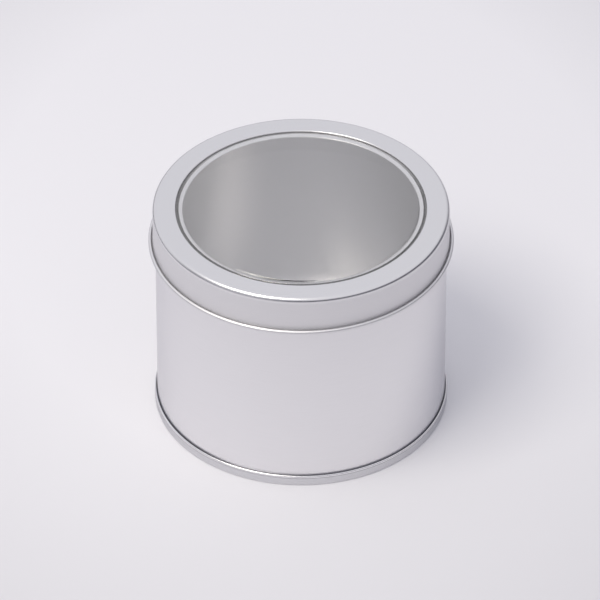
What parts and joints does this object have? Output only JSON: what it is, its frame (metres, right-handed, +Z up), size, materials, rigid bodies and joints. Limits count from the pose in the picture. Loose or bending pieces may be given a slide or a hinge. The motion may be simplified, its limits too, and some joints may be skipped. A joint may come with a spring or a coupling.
{
  "type": "round window lid tin",
  "caption": "Round tinplate tin with a seamed base and a slip lid whose hemmed opening frames a clear window.",
  "frame": {"origin": "centre of the ring on which the base stands", "axes": "+Z up along the tin's axis, towards the lid; the weld of the side wall is at -X"},
  "size_m": [0.077, 0.077, 0.0599],
  "materials": {
    "tinplate": "satin bare tinplate",
    "clear_film": "clear glossy film"
  },
  "bodies": {
    "tin": {"body_wall": "tinplate", "base_end": "tinplate"},
    "lid": {"lid_shell": "tinplate", "window_ring": "tinplate", "lid_window": "clear_film"}
  },
  "joints": [
    {"name": "lid_lift", "type": "slide", "parent": "tin", "child": "lid", "axis": [0, 0, 1], "range_m": [0, 0.04]}
  ]
}
